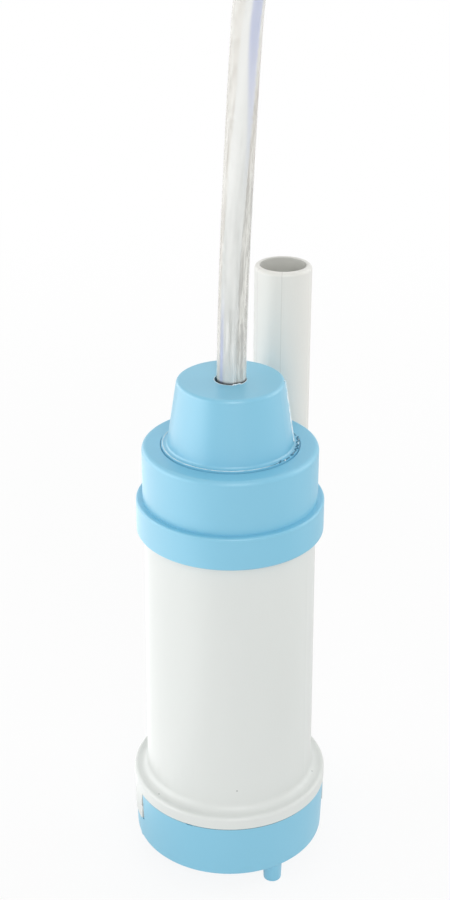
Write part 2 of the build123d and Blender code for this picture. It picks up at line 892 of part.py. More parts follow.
def coil_point(turns):
    """A point of the coil's middle line: it spirals in, climbs a layer and spirals out."""
    climb = min(max((turns - coil_turns_in) / coil_climb_turns, 0), 1)
    going_in = coil_pitch * min(turns, coil_turns_in)
    turning = coil_pitch * coil_climb_turns * (climb - climb * climb)
    going_out = coil_pitch * max(turns - coil_turns_in - coil_climb_turns, 0)
    radius = coil_start_radius - going_in - turning + going_out
    height = coil_low_z + coil_rise * climb * climb * (3 - 2 * climb)
    x_middle, y_middle = coil_middle()
    bearing = coil_bearing(turns)
    return (x_middle + radius * math.cos(bearing), y_middle + radius * math.sin(bearing), height)


def coil_heading(turns):
    """The direction of the coil's middle line, from points a little to each side."""
    before = Vector(*coil_point(turns - coil_heading_step))
    after = Vector(*coil_point(turns + coil_heading_step))
    return (after - before).normalized()


def biarc(start, heading, end, end_heading):
    """Two arcs that leave one point and reach another in given directions."""
    across = end - start
    both = heading + end_heading
    spread = 2 * (1 - heading.dot(end_heading))
    reach = (-across.dot(both) + math.sqrt(across.dot(both) ** 2 + spread * across.dot(across))) / spread
    first = start + heading * reach
    second = end - end_heading * reach
    middle = (first + second) / 2
    return [
        TangentArc(start, middle, tangent=heading),
        TangentArc(middle, end, tangent=(second - first).normalized()),
    ]


def coil_path():
    """The coil's middle line: a straight end, quarter turns of two arcs each, and a straight end."""
    turns = coil_turns()
    count = round(turns * coil_quarters_per_turn)
    places = [k * turns / count for k in range(count + 1)]
    points = [Vector(*coil_point(t)) for t in places]
    headings = [coil_heading(t) for t in places]
    start = Vector(*cable_route[-1])
    headings[0] = (points[0] - start).normalized()
    headings[-1] = Vector(headings[-1].X, headings[-1].Y, 0).normalized()
    pieces = [Line(start, points[0])]
    for k in range(count):
        pieces += biarc(points[k], headings[k], points[k + 1], headings[k + 1])
    pieces.append(Line(points[-1], points[-1] + headings[-1] * cable_diameter))
    return Wire(pieces)


def cable_coil():
    """The put-away length of the cable, one unbroken tube."""
    return tube_along(coil_path(), cable_radius)


def least_self_gap(path, radius):
    """The least clear distance between a tube's turns, measured on points along it."""
    spacing = radius / 2
    count = int(path.length / spacing)
    points = [path @ (k / count) for k in range(count + 1)]
    apart = int(2 * math.pi * radius / spacing)
    least = math.inf
    for i, p in enumerate(points):
        for q in points[i + apart:]:
            least = min(least, (p - q).length)
    return least - 2 * radius


def tie_passes(turns):
    """The coil's passes at the bearing of one place on it, as distance from its middle and height."""
    passes = []
    place = turns % 1
    while place <= coil_turns():
        passes.append(coil_point(place))
        place += 1
    return passes


def coil_tie():
    """Two straps round the coil's turns, which the coil lies on."""
    straps = []
    x_middle, y_middle = coil_middle()
    for turns in coil_tie_turns:
        passes = tie_passes(turns)
        reaches = [math.hypot(p[0] - x_middle, p[1] - y_middle) for p in passes]
        top = coil_low_z + coil_rise + cable_radius + tie_gap
        width = max(reaches) - min(reaches) + cable_diameter + 2 * tie_gap
        height = top - tie_thickness
        middle = (max(reaches) + min(reaches)) / 2
        hole = RectangleRounded(width, height, cable_radius)
        wall = 2 * tie_thickness
        rim = RectangleRounded(width + wall, height + wall, cable_radius + tie_thickness)
        strap = extrude(Plane.XZ * (rim - hole), tie_width / 2, both=True)
        strap = Pos(middle, 0, tie_thickness + height / 2) * strap
        strap = Rot(0, 0, math.degrees(coil_bearing(turns))) * strap
        straps.append(Pos(x_middle, y_middle, 0) * strap)
    return straps


def end_plane():
    """The sheath's cut end: X along the cable, Y to its left, Z up."""
    path = coil_path()
    ahead = path % 1
    return Plane(origin=path @ 1, x_dir=ahead, z_dir=(0, 0, 1))


def core_path(side):
    """One stripped core, from the sheath's end to its tip, in the sheath's end plane."""
    along = stripped_length - core_tip_length
    drop = coil_low_z + coil_rise
    points = [(along * a, side * core_spacing * b, -drop * c) for a, b, c in core_route_shares]
    return FilletPolyline(*points, radius=core_bend_radius)


def cable_cores():
    """The two stripped cores at the cable's far end."""
    place = end_plane()
    return [place.location * tube_along(core_path(side), core_radius_wire) for side in (-1, 1)]


def core_tips():
    """The tinned ends of the cores."""
    place = end_plane()
    tips = []
    for side in (-1, 1):
        path = core_path(side)
        end = Plane(origin=path @ 1, z_dir=path % 1)
        tip = end.location * rod(core_tip_radius, 0, core_tip_length)
        tips.append(place.location * tip)
    return tips


makers = [
    housing,
    riser_tube,
    base_cover,
    top_cap,
    cap_seal,
    cable_boot,
    motor_can,
    motor_screws,
    field_magnets,
    magnet_clip,
    front_bearing,
    rear_bearing,
    thrust_washers,
    motor_end_bell,
    motor_terminals,
    brushes,
    brush_arms,
    suppression_capacitor,
    lead_wires,
    cushion_ring,
    shaft_seal,
    seal_retainer,
    motor_shaft,
    armature_core,
    armature_windings,
    commutator_hub,
    commutator_segments,
    impeller,
    cable_collar,
    cable,
    cable_coil,
    coil_tie,
    cable_cores,
    core_tips,
]

os.makedirs("parts", exist_ok=True)
for maker in makers:
    made = maker()
    pieces = made if isinstance(made, list) else [made]
    solids = [solid for piece in pieces for solid in piece.solids()]
    export_step(Compound(children=solids), f"parts/{maker.__name__}.step")

route_length = cable_path().length
tube_volume = math.pi * cable_radius**2 * route_length
print("radii of the cable's corners", [round(r, 1) for r in corner_radii(cable_points())])
print("cable", round(route_length, 1), "mm")
print("coil", round(coil_path().length, 1), "mm in", round(coil_turns(), 2), "turns")
print("cable volume over section times length", round(cable().volume / tube_volume, 4))
print("least gap of the coil to itself", round(least_self_gap(coil_path(), cable_radius), 2), "mm")
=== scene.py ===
import math

import bpy
from mathutils import Matrix, Vector


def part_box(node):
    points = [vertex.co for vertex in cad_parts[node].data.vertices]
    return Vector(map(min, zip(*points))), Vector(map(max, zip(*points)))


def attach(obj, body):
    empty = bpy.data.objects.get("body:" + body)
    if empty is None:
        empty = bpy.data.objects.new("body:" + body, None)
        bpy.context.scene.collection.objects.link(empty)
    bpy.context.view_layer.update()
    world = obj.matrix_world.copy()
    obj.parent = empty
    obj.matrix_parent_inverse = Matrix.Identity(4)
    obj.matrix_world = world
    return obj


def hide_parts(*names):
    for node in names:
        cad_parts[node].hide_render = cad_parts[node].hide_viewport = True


# Submersible caravan water pump, dressed on its CAD frame. Metres and degrees, +Z up. The pump's
# axis is the Z axis, its riser stands on the +Y side and its cable is put away on the +X side.

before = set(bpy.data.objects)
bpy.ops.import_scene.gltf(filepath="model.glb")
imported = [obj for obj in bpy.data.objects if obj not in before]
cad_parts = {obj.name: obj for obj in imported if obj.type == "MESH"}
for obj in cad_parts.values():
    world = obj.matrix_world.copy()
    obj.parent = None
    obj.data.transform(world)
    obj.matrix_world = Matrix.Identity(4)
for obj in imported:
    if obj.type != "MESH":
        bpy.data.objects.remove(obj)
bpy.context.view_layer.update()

# What the frame gives
seam_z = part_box("base_cover")[1].z
shoulder_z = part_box("top_cap")[1].z
cone_top_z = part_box("cable_boot")[1].z
cone_seat_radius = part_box("cable_boot")[1].x
riser_y = (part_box("riser_tube")[0].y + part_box("riser_tube")[1].y) / 2

# Sizes of the part that no box of the frame gives
riser_bore_radius = 0.00436
cone_foot_radius = 0.0116
cone_top_radius = 0.00973

# Camera, from the photograph's vanishing lines and ellipses, with the image taken as 450 x 900
image_height = 900
focal_pixels = 1573.05
camera_distance = 0.26074
camera_height = 0.20976
camera_bearing = 26.2
camera_pitch = 25.205
camera_yaw = -0.212
camera_roll = 0.092

# Floor and surroundings: white to the camera, and a plain level of light on the object. The camera sees
# a share of white on the floor near the pump, and all of it from a distance on.
white = (1, 1, 1, 1)
world_strength = 0.56
floor_colour = (0.9, 0.9, 0.9, 1)
floor_half_width = 3.0
floor_near_white = 0.88
floor_white_start = 0.12
floor_white_full = 0.45

# Soft lights: name, bearing from the camera's side, height, distance, width, tall, power, the height on
# the pump's axis that they face, and whether only gloss shows them. The two cards that only gloss shows
# stand for pale surroundings low on the pump's left; the one on the floor faces straight up.
pump_middle = 0.07
far_overhead = 50
soft_lights = [
    ("left light", -97, 0.35, 0.75, 0.6, 0.6, 0.8, pump_middle, False),
    ("left card", -95, 0.05, 0.3, 0.75, 0.4, 1.5, pump_middle, True),
    ("floor card", -105, 0.001, 0.16, 0.3, 0.26, 0.3, far_overhead, True),
    ("far left light", -135, 0.35, 0.75, 0.45, 0.6, 0.4, pump_middle, False),
    ("low left light", -70, 0.12, 0.75, 0.45, 0.6, 0.72, pump_middle, False),
    ("front light", 8, 0.5, 0.75, 0.45, 0.6, 2.25, pump_middle, False),
    ("right light", 110, 0.35, 0.75, 0.6, 0.6, 1.95, pump_middle, False),
    ("back light", 180, 0.9, 0.35, 0.5, 0.6, 0.98, pump_middle, False),
]

# Cable
cable_radius = 0.0027
cable_start_z = 0.0777
coil_low_z = 0.0035
coil_pitch = 0.006
coil_rise = 0.006
coil_start_radius = 0.0325
coil_turns_in = 1.5
coil_climb_turns = 0.5
coil_turns = 3.42
coil_points_per_turn = 24
core_bundle_radius = 0.00258
line_steps = 8
sheath_step = 0.0014
sheath_sides = 40
sheath_groove_depth = 0.0002
sheath_groove_bearing = 41.0
sheath_groove_narrowness = 60

# Route of the cable's free stretch in metres: the part's points, some moved to follow the photograph
cable_route = [
    (0, 0, 0.0777),
    (0, 0, 0.107),
    (0.0014, 0.0008, 0.1483),
    (0.0032, 0.0017, 0.1815),
    (0.0183, 0.0180, 0.1976),
    (0.0356, 0.0367, 0.1976),
    (0.0454, 0.0491, 0.1743),
    (0.0457, 0.0493, 0.131),
    (0.0440, 0.0483, 0.080),
    (0.0423, 0.0469, 0.048),
    (0.0416, 0.0460, 0.0286),
    (0.0508, 0.0460, 0.0126),
    (0.0670, 0.0460, 0.0035),
    (0.0848, 0.0460, 0.0035),
]

# How the two cores lie in the sheath: straight to a little above the cone, then slowly turning
cores_start_turn = -22.1
cores_turn_start = 0.045
cores_turn_per_metre = 950.0

# Where the cable leaves the cone's mouth, along it, and the grime that ends just above
mouth_along = cone_top_z - cable_start_z
grime_along = (mouth_along + 0.0005, mouth_along + 0.0001)
grime_strength = 0.8
grime_colour = (58, 62, 66)

# How the cores show through the sheath: degrees round the cable from the milky core's middle, metres
# along it. A pair says where a mark begins and where it is full; a band is its middle, half width
# and softness.
milky_half_width = 40
milky_edge_softness = 2
milky_edge_shift = -2
milky_edge_wander = 10.0
milky_edge_teeth = 36.0
seam_half_width = 2.0
seam_along = (0.060, 0.050)
grey_strands_round = (0, 20)
grey_strands_along = (0.064, 0.055)
grey_patches_along = (0.11, 0.16)
# Painted shade on the milky core near the cone
painted_shade_round = (10, -30)
painted_shade_along = (0.061, 0.028)
# Painted highlight on the milky core's left, higher up
painted_highlight_band = (-22, 14, 6)
painted_highlight_along = (0.050, 0.064)
lilac_low_band = (-27, 8, 5)
lilac_low_along = (0.043, 0.028)
lilac_high_left = (16, 30)
lilac_high_right = (54, 42)
lilac_high_along = (0.054, 0.087)
lilac_widening = 34
lilac_widening_along = (0.064, 0.088)

# Ridges of the bare strands: how many lie round the bundle, and half waves of their lay in a metre
strand_ridges = 14
strand_half_waves = 520

# Moulding flash round the cone's seat, ragged and darker on its +X side, round the cone's mouth, and
# down the cone's parting line, whose ends are shares of the cone's height
flash_radius = 0.00007
flash_inset = 0.0003
flash_sides = 6
seat_height = 0.0003
flash_even_reach = 0.00012
flash_grain = 1400.0
flash_grain_detail = 3.0
flash_steps = 900
flash_fatness = 2.0
ragged_seat = (-20.0, 42.0)
seat_reach = 0.0015
ragged_mouth = (-60.0, -20.0)
mouth_radius = 0.00296
mouth_flash_radius = 0.00006
mouth_reach = 0.0009
dark_from = -42.0
dark_top = shoulder_z + 0.0009
dark_fade = 0.0004
parting_line_bearing = 24.0
parting_line_radius = 0.00024
parting_line_sides = 8
parting_line_top = 0.99
parting_line_foot = 0.05

# Small dark marks on the white housing
housing_specks = [
    (-0.00726, -0.01629, 0.0181),
    (0.00854, -0.01396, 0.02263),
    (0.01667, 0.00349, 0.01837),
]
speck_radius = 0.00016
speck_full_share = 0.6
speck_strength = 0.8

# Riser: the two lines of its mould, in degrees round it, and the painted shade in its bore
mould_line_bearings = (-68, -127)
mould_line_width = 0.8
mould_line_shade = 0.25
mould_line_lift = 3.0
bore_edge = (riser_bore_radius + 0.0003, riser_bore_radius + 0.0001)
painted_bore_shade = 0.22

# Darker band in the seam at the base's top edge: where it begins and is full, below that edge
seam_dark_start = 0.00030
seam_dark_full = 0.00012

# Roughness of the plastics, before scuffs, and depths of surface grain
white_roughness = 0.36
blue_roughness = 0.36
grommet_roughness = 0.30
white_grain_depth = 0.00002
blue_grain_depth = 0.00002
grommet_grain_depth = 0.000006
flash_grain_depth = 0.00002
cable_grain_depth = 0.00005
wire_grain_depth = 0.00001

# Armature: its sheets, and its coils of enamelled wire round three pole necks
sheet_thickness = 0.0005
pole_count = 3
wire_diameter = 0.00031
wire_sides = 8
coil_near = 0.0030
coil_neck_width = 0.0032
coil_thickness = 0.0016
coil_corner_steps = 5

# Strands of the small leads: how much y and z add to their slant, and their waves in radians per metre
strand_slant_y = 1.3
strand_slant_z = 0.8
strand_waves = 9000.0

# A screen's colour curve: a straight foot, then a power
curve_foot = 0.04045
curve_foot_slope = 12.92
curve_offset = 0.055
curve_power = 2.4


class Value:
    """A shader socket that can stand in a sum."""

    def __init__(self, finish, socket):
        self.finish = finish
        self.socket = socket

    def maths(self, operation, first, second):
        return self.finish.node("ShaderNodeMath", {"operation": operation}, {0: first, 1: second})

    def __add__(self, other):
        return self.maths("ADD", self, other)

    def __sub__(self, other):
        return self.maths("SUBTRACT", self, other)

    def __rsub__(self, other):
        return self.maths("SUBTRACT", other, self)

    def __mul__(self, other):
        return self.maths("MULTIPLY", self, other)

    __radd__ = __add__
    __rmul__ = __mul__


class Finish:
    """A material under construction, or the world, which is made of the same nodes."""

    def __init__(self, name, family="materials"):
        self.made = getattr(bpy.data, family).new(name)
        self.made.use_nodes = True
        self.tree = self.made.node_tree
        self.tree.nodes.clear()

    def node(self, kind, settings=None, inputs=None, output=0):
        """Adds a node: its type, its settings, then the values or links of its sockets."""
        made = self.tree.nodes.new(kind)
        for key, value in (settings or {}).items():
            setattr(made, key, value)
        for key, value in (inputs or {}).items():
            if isinstance(value, Value):
                self.tree.links.new(value.socket, made.inputs[key])
            else:
                made.inputs[key].default_value = value
        return Value(self, made.outputs[output]) if made.outputs else None

    def band(self, value, middle, half_width, softness):
        """1 inside a band of values, 0 outside it, with soft edges."""
        away = self.node("ShaderNodeMath", {"operation": "ABSOLUTE"}, {0: value - middle})
        return self.fade(away, half_width + softness, half_width - softness)

    def fade(self, value, none_at, full_at):
        """0 at one value, 1 at the other, smooth in between."""
        kinds = {"interpolation_type": "SMOOTHSTEP", "clamp": True}
        ends = {"Value": value, "From Min": none_at, "From Max": full_at}
        if none_at > full_at:
            ends = {"Value": value, "From Min": full_at, "From Max": none_at, "To Min": 1.0, "To Max": 0.0}
        return self.node("ShaderNodeMapRange", kinds, ends)

    def place(self, stretch=(1, 1, 1)):
        """The surface's place on the piece, stretched along the axes."""
        spot = self.node("ShaderNodeTexCoord", output="Object")
        return self.node("ShaderNodeMapping", {"vector_type": "POINT"}, {"Vector": spot, "Scale": stretch})

    def noise(self, scale, detail=2.0, roughness=0.5, stretch=(1, 1, 1), place=None):
        """Clouds, about as many in a metre as the scale says, with finer ones in them."""
        spot = place or self.place(stretch)
        inputs = {"Vector": spot, "Scale": scale, "Detail": detail, "Roughness": roughness}
        return self.node("ShaderNodeTexNoise", inputs=inputs)

    def cells(self, scale, output="Distance"):
        """Cells round scattered points, about as many in a metre as the scale says."""
        inputs = {"Vector": self.place(), "Scale": scale}
        return self.node("ShaderNodeTexVoronoi", inputs=inputs, output=output)

    def attribute(self, name, output="Fac"):
        return self.node("ShaderNodeAttribute", {"attribute_name": name}, output=output)

    def blend(self, factor, first, second):
        """One colour turning into another."""
        kinds = {"data_type": "RGBA", "clamp_factor": True}
        return self.node("ShaderNodeMix", kinds, {"Factor": factor, 6: first, 7: second}, output=2)

    def vector(self, **parts):
        """A vector from the numbers named; the others are 0."""
        return self.node("ShaderNodeCombineXYZ", inputs=parts)

    def split(self, vector):
        """The three numbers of a vector."""
        parts = self.node("ShaderNodeSeparateXYZ", inputs={"Vector": vector})
        return [Value(self, socket) for socket in parts.socket.node.outputs]

    def bearing(self, x, y):
        """The direction of (x, y) in degrees."""
        return self.node("ShaderNodeMath", {"operation": "ARCTAN2"}, {0: y, 1: x}) * math.degrees(1)

    def length(self, vector):
        return self.node("ShaderNodeVectorMath", {"operation": "LENGTH"}, {0: vector}, output="Value")

    def near(self, point, radius):
        """1 close to a point of the piece, 0 from a radius on."""
        away = self.node("ShaderNodeVectorMath", {"operation": "SUBTRACT"}, {0: self.place(), 1: point})
        return self.fade(self.length(away), radius, speck_full_share * radius)

    def sine(self, value):
        return self.node("ShaderNodeMath", {"operation": "SINE"}, {0: value})

    def relief(self, height, distance, strength=0.5):
        """A bump of a real depth."""
        inputs = {"Height": height, "Distance": distance, "Strength": strength}
        return self.node("ShaderNodeBump", inputs=inputs)

    def sights(self):
        """1 for a ray from the camera, for one off gloss and for one through clear plastic."""
        rays = ("Is Camera Ray", "Is Glossy Ray", "Is Transmission Ray")
        return [self.node("ShaderNodeLightPath", output=ray) for ray in rays]

    def surface(self, **inputs):
        """The shader itself; colours are linear."""
        names = {key.replace("_", " "): value for key, value in inputs.items()}
        shader = self.node("ShaderNodeBsdfPrincipled", inputs=names)
        self.node("ShaderNodeOutputMaterial", inputs={"Surface": shader})
        return self.made


def tint(red, green, blue):
    """A colour from the 0 to 255 values that it has on a screen, as linear light."""
    linear = []
    for part in (red, green, blue):
        part = part / 255
        if part <= curve_foot:
            linear.append(part / curve_foot_slope)
        else:
            linear.append(((part + curve_offset) / (1 + curve_offset)) ** curve_power)
    return (*linear, 1)


class Recipe:
    """A Geometry Nodes tree under construction, with named inputs."""

    def __init__(self, name):
        self.tree = bpy.data.node_groups.new(name, "GeometryNodeTree")
        self.tree.interface.new_socket("Geometry", in_out="INPUT", socket_type="NodeSocketGeometry")
        self.tree.interface.new_socket("Geometry", in_out="OUTPUT", socket_type="NodeSocketGeometry")
        self.given = self.tree.nodes.new("NodeGroupInput")
        self.result = self.tree.nodes.new("NodeGroupOutput")
        self.values = {}

    def takes(self, name, value, kind="NodeSocketFloat"):
        """A named input with its value for this piece."""
        socket = self.tree.interface.new_socket(name, in_out="INPUT", socket_type=kind)
        self.values[socket.identifier] = value
        return self.given.outputs[name]

    def node(self, kind, settings=None, inputs=None, output=0):
        """Adds a node, as a finish does."""
        made = self.tree.nodes.new(kind)
        for key, value in (settings or {}).items():
            setattr(made, key, value)
        for key, value in (inputs or {}).items():
            if isinstance(value, bpy.types.NodeSocket):
                self.tree.links.new(value, made.inputs[key])
            else:
                made.inputs[key].default_value = value
        return made.outputs[output]

    def maths(self, operation, first, second=0.0, third=0.0):
        return self.node("ShaderNodeMath", {"operation": operation}, {0: first, 1: second, 2: third})

    def vector_maths(self, operation, inputs, output=0):
        return self.node("ShaderNodeVectorMath", {"operation": operation}, inputs, output)

    def vector(self, **parts):
        """A vector from the numbers named; the others are 0."""
        return self.node("ShaderNodeCombineXYZ", inputs=parts)

    def circle(self, sides, radius):
        sizes = {"Resolution": sides, "Radius": radius}
        return self.node("GeometryNodeCurvePrimitiveCircle", {"mode": "RADIUS"}, sizes)

    def rectangle(self, width, height):
        sizes = {"Width": width, "Height": height}
        return self.node("GeometryNodeCurvePrimitiveQuadrilateral", inputs=sizes)

    def sweep(self, line, section, scale=1.0, closed_ends=False):
        """A section drawn along a line."""
        inputs = {"Curve": line, "Profile Curve": section, "Scale": scale, "Fill Caps": closed_ends}
        return self.node("GeometryNodeCurveToMesh", inputs=inputs)

    def store(self, shape, name, value, kind):
        """Keeps a value on the shape's points under a name."""
        kinds = {"data_type": kind, "domain": "POINT"}
        inputs = {"Geometry": shape, "Name": name, "Value": value}
        return self.node("GeometryNodeStoreNamedAttribute", kinds, inputs)

    def nudge(self, shape, offset):
        """Moves the shape's points, each by its own offset."""
        return self.node("GeometryNodeSetPosition", inputs={"Geometry": shape, "Offset": offset})

    def move(self, shape, **how):
        """Moves or turns the whole shape."""
        return self.node("GeometryNodeTransform", inputs={"Geometry": shape, **how})

    def row(self, count, offset):
        """Points in a row, for copies of a shape."""
        return self.node("GeometryNodeMeshLine", inputs={"Count": count, "Offset": offset})

    def copies(self, points, shape, **how):
        inputs = {"Points": points, "Instance": shape, **how}
        return self.node("GeometryNodeInstanceOnPoints", inputs=inputs)

    def join(self, *shapes):
        """Several shapes as one."""
        joined = self.tree.nodes.new("GeometryNodeJoinGeometry")
        for shape in shapes:
            self.tree.links.new(shape, joined.inputs["Geometry"])
        return joined.outputs["Geometry"]

    def finish(self, shape, material):
        """Ends the tree: smooth, real geometry in one material."""
        smooth = self.node("GeometryNodeSetShadeSmooth", inputs={0: shape})
        real = self.node("GeometryNodeRealizeInstances", inputs={"Geometry": smooth})
        painted = self.node("GeometryNodeSetMaterial", inputs={"Geometry": real, "Material": material})
        self.tree.links.new(painted, self.result.inputs["Geometry"])

    def make(self, name, source=None):
        """Runs the tree on an object, or on nothing, and keeps what it makes as a plain mesh."""
        seed = source or linked(name + " seed", bpy.data.meshes.new(name + " seed"))
        modifier = seed.modifiers.new(self.tree.name, "NODES")
        modifier.node_group = self.tree
        for identifier, value in self.values.items():
            modifier[identifier] = value
        mesh = plain_mesh(seed, name)
        seed.modifiers.remove(modifier)
        if source is None:
            bpy.data.objects.remove(seed)
        return linked(name, mesh)


def plain_mesh(source, name):
    """The evaluated shape of an object as a mesh of its own."""
    graph = bpy.context.evaluated_depsgraph_get()
    mesh = bpy.data.meshes.new_from_object(source.evaluated_get(graph), depsgraph=graph)
    mesh.name = name
    return mesh


def linked(name, data):
    """A new object in the scene."""
    made = bpy.data.objects.new(name, data)
    bpy.context.scene.collection.objects.link(made)
    return made


def paint(node, material):
    """Gives a CAD node its finish."""
    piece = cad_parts[node]
    piece.data.materials.clear()
    piece.data.materials.append(material)


def white_plastic(finish, dark, light):
    """Colour, height and roughness of satin white plastic with a moulded grain and faint flow marks."""
    flow = finish.noise(38.0, detail=3.0, stretch=(1, 1, 0.35))
    grain = finish.noise(2600.0, detail=1.0)
    scuffs = finish.noise(900.0, detail=4.0, roughness=0.7, stretch=(1, 1, 0.08))
    return finish.blend(flow, dark, light), grain + 0.6 * scuffs, white_roughness + 0.10 * scuffs


def white_surface(finish, colour, height, roughness):
    """The shader of the white plastic."""
    return finish.surface(
        Base_Color=colour,
        Roughness=roughness,
        Normal=finish.relief(height, white_grain_depth),
        IOR=1.6,
        Specular_IOR_Level=0.6,
    )


def housing_finish():
    """White plastic with three dark specks by the flange."""
    finish = Finish("white housing plastic")
    colour, height, roughness = white_plastic(finish, tint(217, 221, 218), tint(225, 228, 225))
    for point in housing_specks:
        speck = finish.near(point, speck_radius) * speck_strength
        colour = finish.blend(speck, colour, tint(84, 88, 90))
    return white_surface(finish, colour, height, roughness)


def riser_finish():
    """White plastic with the two fine lines that the mould's halves leave along the pipe, and painted shade
    in its bore.
    """
    finish = Finish("white riser plastic")
    colour, height, roughness = white_plastic(finish, tint(224, 224, 218), tint(231, 230, 225))
    x, y, _ = finish.split(finish.place())
    bearing = finish.bearing(x, y - riser_y)
    for line_bearing in mould_line_bearings:
        line = finish.band(bearing, line_bearing, mould_line_width, mould_line_width)
        colour = finish.blend(line * mould_line_shade, colour, tint(178, 172, 164))
        height = height + mould_line_lift * line
    # Painted shade: the inside of the bore is darkened in the colour
    from_axis = finish.length(finish.vector(X=x, Y=y - riser_y))
    bore = finish.fade(from_axis, *bore_edge)
    colour = finish.blend(bore * painted_bore_shade, colour, tint(150, 153, 148))
    return white_surface(finish, colour, height, roughness)


def blue_plastic(name, roughness, grain_depth, dark_edge=None):
    """Satin light-blue plastic with a moulded grain, and a darker, blotchy band along a top edge where one
    is given.
    """
    finish = Finish(name)
    flow = finish.noise(30.0, detail=3.0, stretch=(1, 1, 0.3))
    grain = finish.noise(2200.0)
    scuffs = finish.noise(260.0, stretch=(1, 1, 0.3))
    colour = finish.blend(flow, tint(118, 190, 218), tint(126, 196, 223))
    if dark_edge is not None:
        # Darker in blotches just below the given top edge
        _, _, height = finish.split(finish.place())
        seam_dark = finish.fade(height, dark_edge - seam_dark_start, dark_edge - seam_dark_full)
        thick = finish.fade(finish.noise(140.0, detail=3.0), 0.3, 0.5)
        colour = finish.blend(seam_dark * (0.6 + 0.35 * thick), colour, tint(62, 84, 98))
    return finish.surface(
        Base_Color=colour,
        Roughness=roughness + 0.10 * scuffs,
        Normal=finish.relief(grain, grain_depth),
        IOR=1.65,
        Specular_IOR_Level=0.75,
    )


def flash_finish():
    """Thin moulding flash: pale, partly as a painted highlight, and darker low down from its +X side round
    to the riser.
    """
    finish = Finish("pale blue flash")
    wear = finish.noise(700.0, detail=3.0)
    x, y, height = finish.split(finish.place())
    # Darker in blotches low down, from the +X side round to the riser
    dark_side = finish.fade(finish.bearing(x, y), dark_from, ragged_seat[0])
    low_down = finish.fade(height, dark_top, dark_top - dark_fade)
    blotches = finish.fade(finish.noise(1500.0), 0.66, 0.56)
    darkened = dark_side * low_down * blotches
    # Pale: thin flash, and in part a painted highlight
    pale = finish.blend(finish.fade(wear, 0.3, 0.6), tint(180, 220, 234), tint(240, 249, 252))
    return finish.surface(
        Base_Color=finish.blend(darkened, pale, tint(50, 114, 142)),
        Roughness=0.14 + 0.1 * wear + 0.5 * darkened,
        Normal=finish.relief(wear, flash_grain_depth, strength=0.6),
        Specular_IOR_Level=1.0,
        Coat_Weight=0.6 - 0.6 * darkened,
    )


def cable_marks(finish):
    """Degrees round the cable from the milky core's middle, metres along it, and places on its skin."""
    x, y, _ = finish.split(finish.attribute("section", "Vector"))
    along = finish.attribute("along")

    def skin(stretch):
        """The place on the skin, stretched along the cable."""
        return finish.vector(X=x, Y=y, Z=along * stretch)

    return finish.bearing(x, y), along, skin


def cores_in_sheath():
    """Two cores as they show through the sheath: a milky one in front, bare strands round the rest."""
    finish = Finish("cores in the sheath")
    angle, along, skin = cable_marks(finish)
    line = finish.vector(X=along)
    wander = milky_edge_wander * (finish.noise(70.0, detail=3.0, place=line) - 0.5)
    teeth = milky_edge_teeth * (finish.noise(1300.0, detail=3.0, roughness=0.7, place=line) - 0.5)
    edge = angle + milky_edge_shift + wander + teeth
    milky = finish.band(edge, 0, milky_half_width, milky_edge_softness)
    seam = finish.band(edge, milky_half_width, seam_half_width, milky_edge_softness)
    seam = seam * finish.fade(along, *seam_along)
    fleck = finish.noise(1900.0, detail=4.0, roughness=0.8, place=skin(0.5))
    lines = finish.noise(2200.0, roughness=0.6, place=skin(0.05))
    strands = bare_strands(finish, angle, along, skin, fleck, lines)
    milk = milky_core(finish, angle, along, skin, fleck, lines)
    colour = finish.blend(milky, strands, milk)
    broken_seam = 0.5 * seam * finish.fade(fleck, 0.62, 0.4)
    colour = finish.blend(broken_seam, colour, tint(104, 103, 95))
    colour = finish.blend(mouth_grime(finish, along), colour, tint(*grime_colour))
    lay = finish.sine((angle * (strand_ridges / 180) + along * strand_half_waves) * math.pi)
    return finish.surface(
        Base_Color=colour,
        Roughness=0.34 + 0.1 * fleck,
        Normal=finish.relief(0.5 * lay * (1 - milky) + fleck, cable_grain_depth, strength=0.6),
        Specular_IOR_Level=0.4,
    )


def bare_strands(finish, angle, along, skin, fleck, lines):
    """Bare strands: pale all round, grey beside the milky core near the cone and in patches further on."""
    streak = finish.noise(900.0, detail=3.0, roughness=0.7, place=skin(0.08))
    mixed = finish.fade(fleck * 0.3 + streak * 0.3 + lines * 0.4, 0.42, 0.57)
    pale = finish.blend(mixed, tint(194, 187, 176), tint(240, 238, 232))
    grey = finish.blend(mixed, tint(172, 170, 162), tint(240, 239, 232))
    beside = finish.fade(angle, *grey_strands_round) * finish.fade(along, *grey_strands_along)
    clouds = finish.noise(22.0, detail=1.0, place=finish.vector(X=along))
    patchy = finish.fade(clouds, 0.45, 0.65) * finish.fade(along, *grey_patches_along)
    return finish.blend(beside + 0.6 * patchy, pale, grey)


